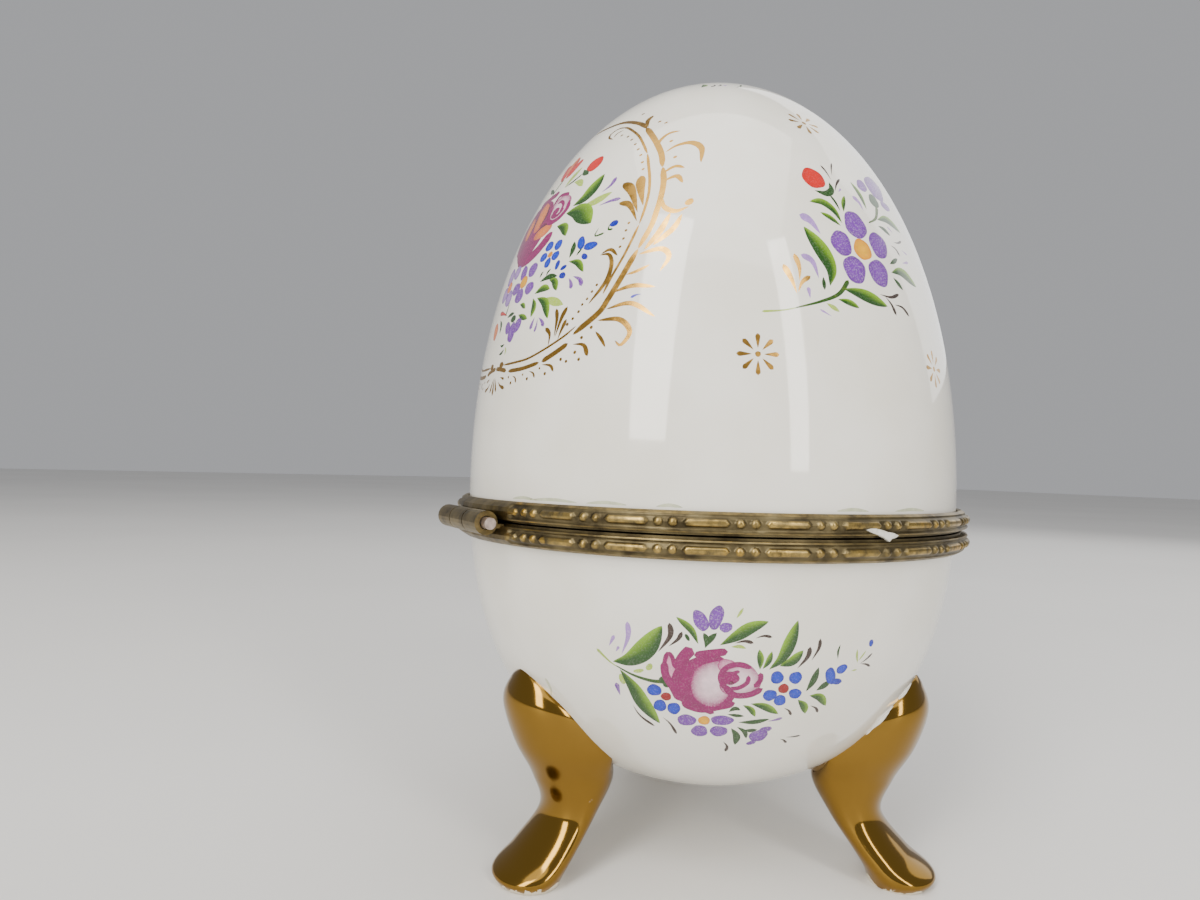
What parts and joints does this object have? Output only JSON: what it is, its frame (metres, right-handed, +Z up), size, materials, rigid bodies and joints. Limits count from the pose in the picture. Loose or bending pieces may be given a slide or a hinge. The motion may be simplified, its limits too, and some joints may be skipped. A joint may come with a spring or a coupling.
{
  "type": "hinged porcelain egg box",
  "caption": "Egg-shaped porcelain box in two hollow halves, painted with flower sprays, in stamped brass rims with a barrel hinge, on gilded cabriole feet",
  "frame": {"origin": "on the surface that the feet stand on, under the middle of the bounding box", "axes": "+Z up along the egg's axis, -X towards the hinge, Y along the hinge pin"},
  "size_m": [0.1038, 0.1008, 0.1516],
  "materials": {
    "lid_porcelain": "white glazed porcelain with painted flowers and gold ornament",
    "bowl_porcelain": "white glazed porcelain with painted flowers, on feet with worn bright gilding",
    "rim_brass": "darkened stamped brass with worn gilding on the high places",
    "pin_metal": "dull grey metal pin, slightly reddish at its cut ends"
  },
  "bodies": {
    "base": {"bowl": "bowl_porcelain", "bowl_rim": "rim_brass", "hinge_pin": "pin_metal"},
    "lid": {"lid": "lid_porcelain", "lid_rim": "rim_brass"}
  },
  "joints": [
    {"name": "lid_hinge", "type": "hinge", "parent": "base", "child": "lid", "pos_m": [-0.04988, 0, 0.0638], "axis": [0, -1, 0], "range_deg": [0, 100]}
  ]
}
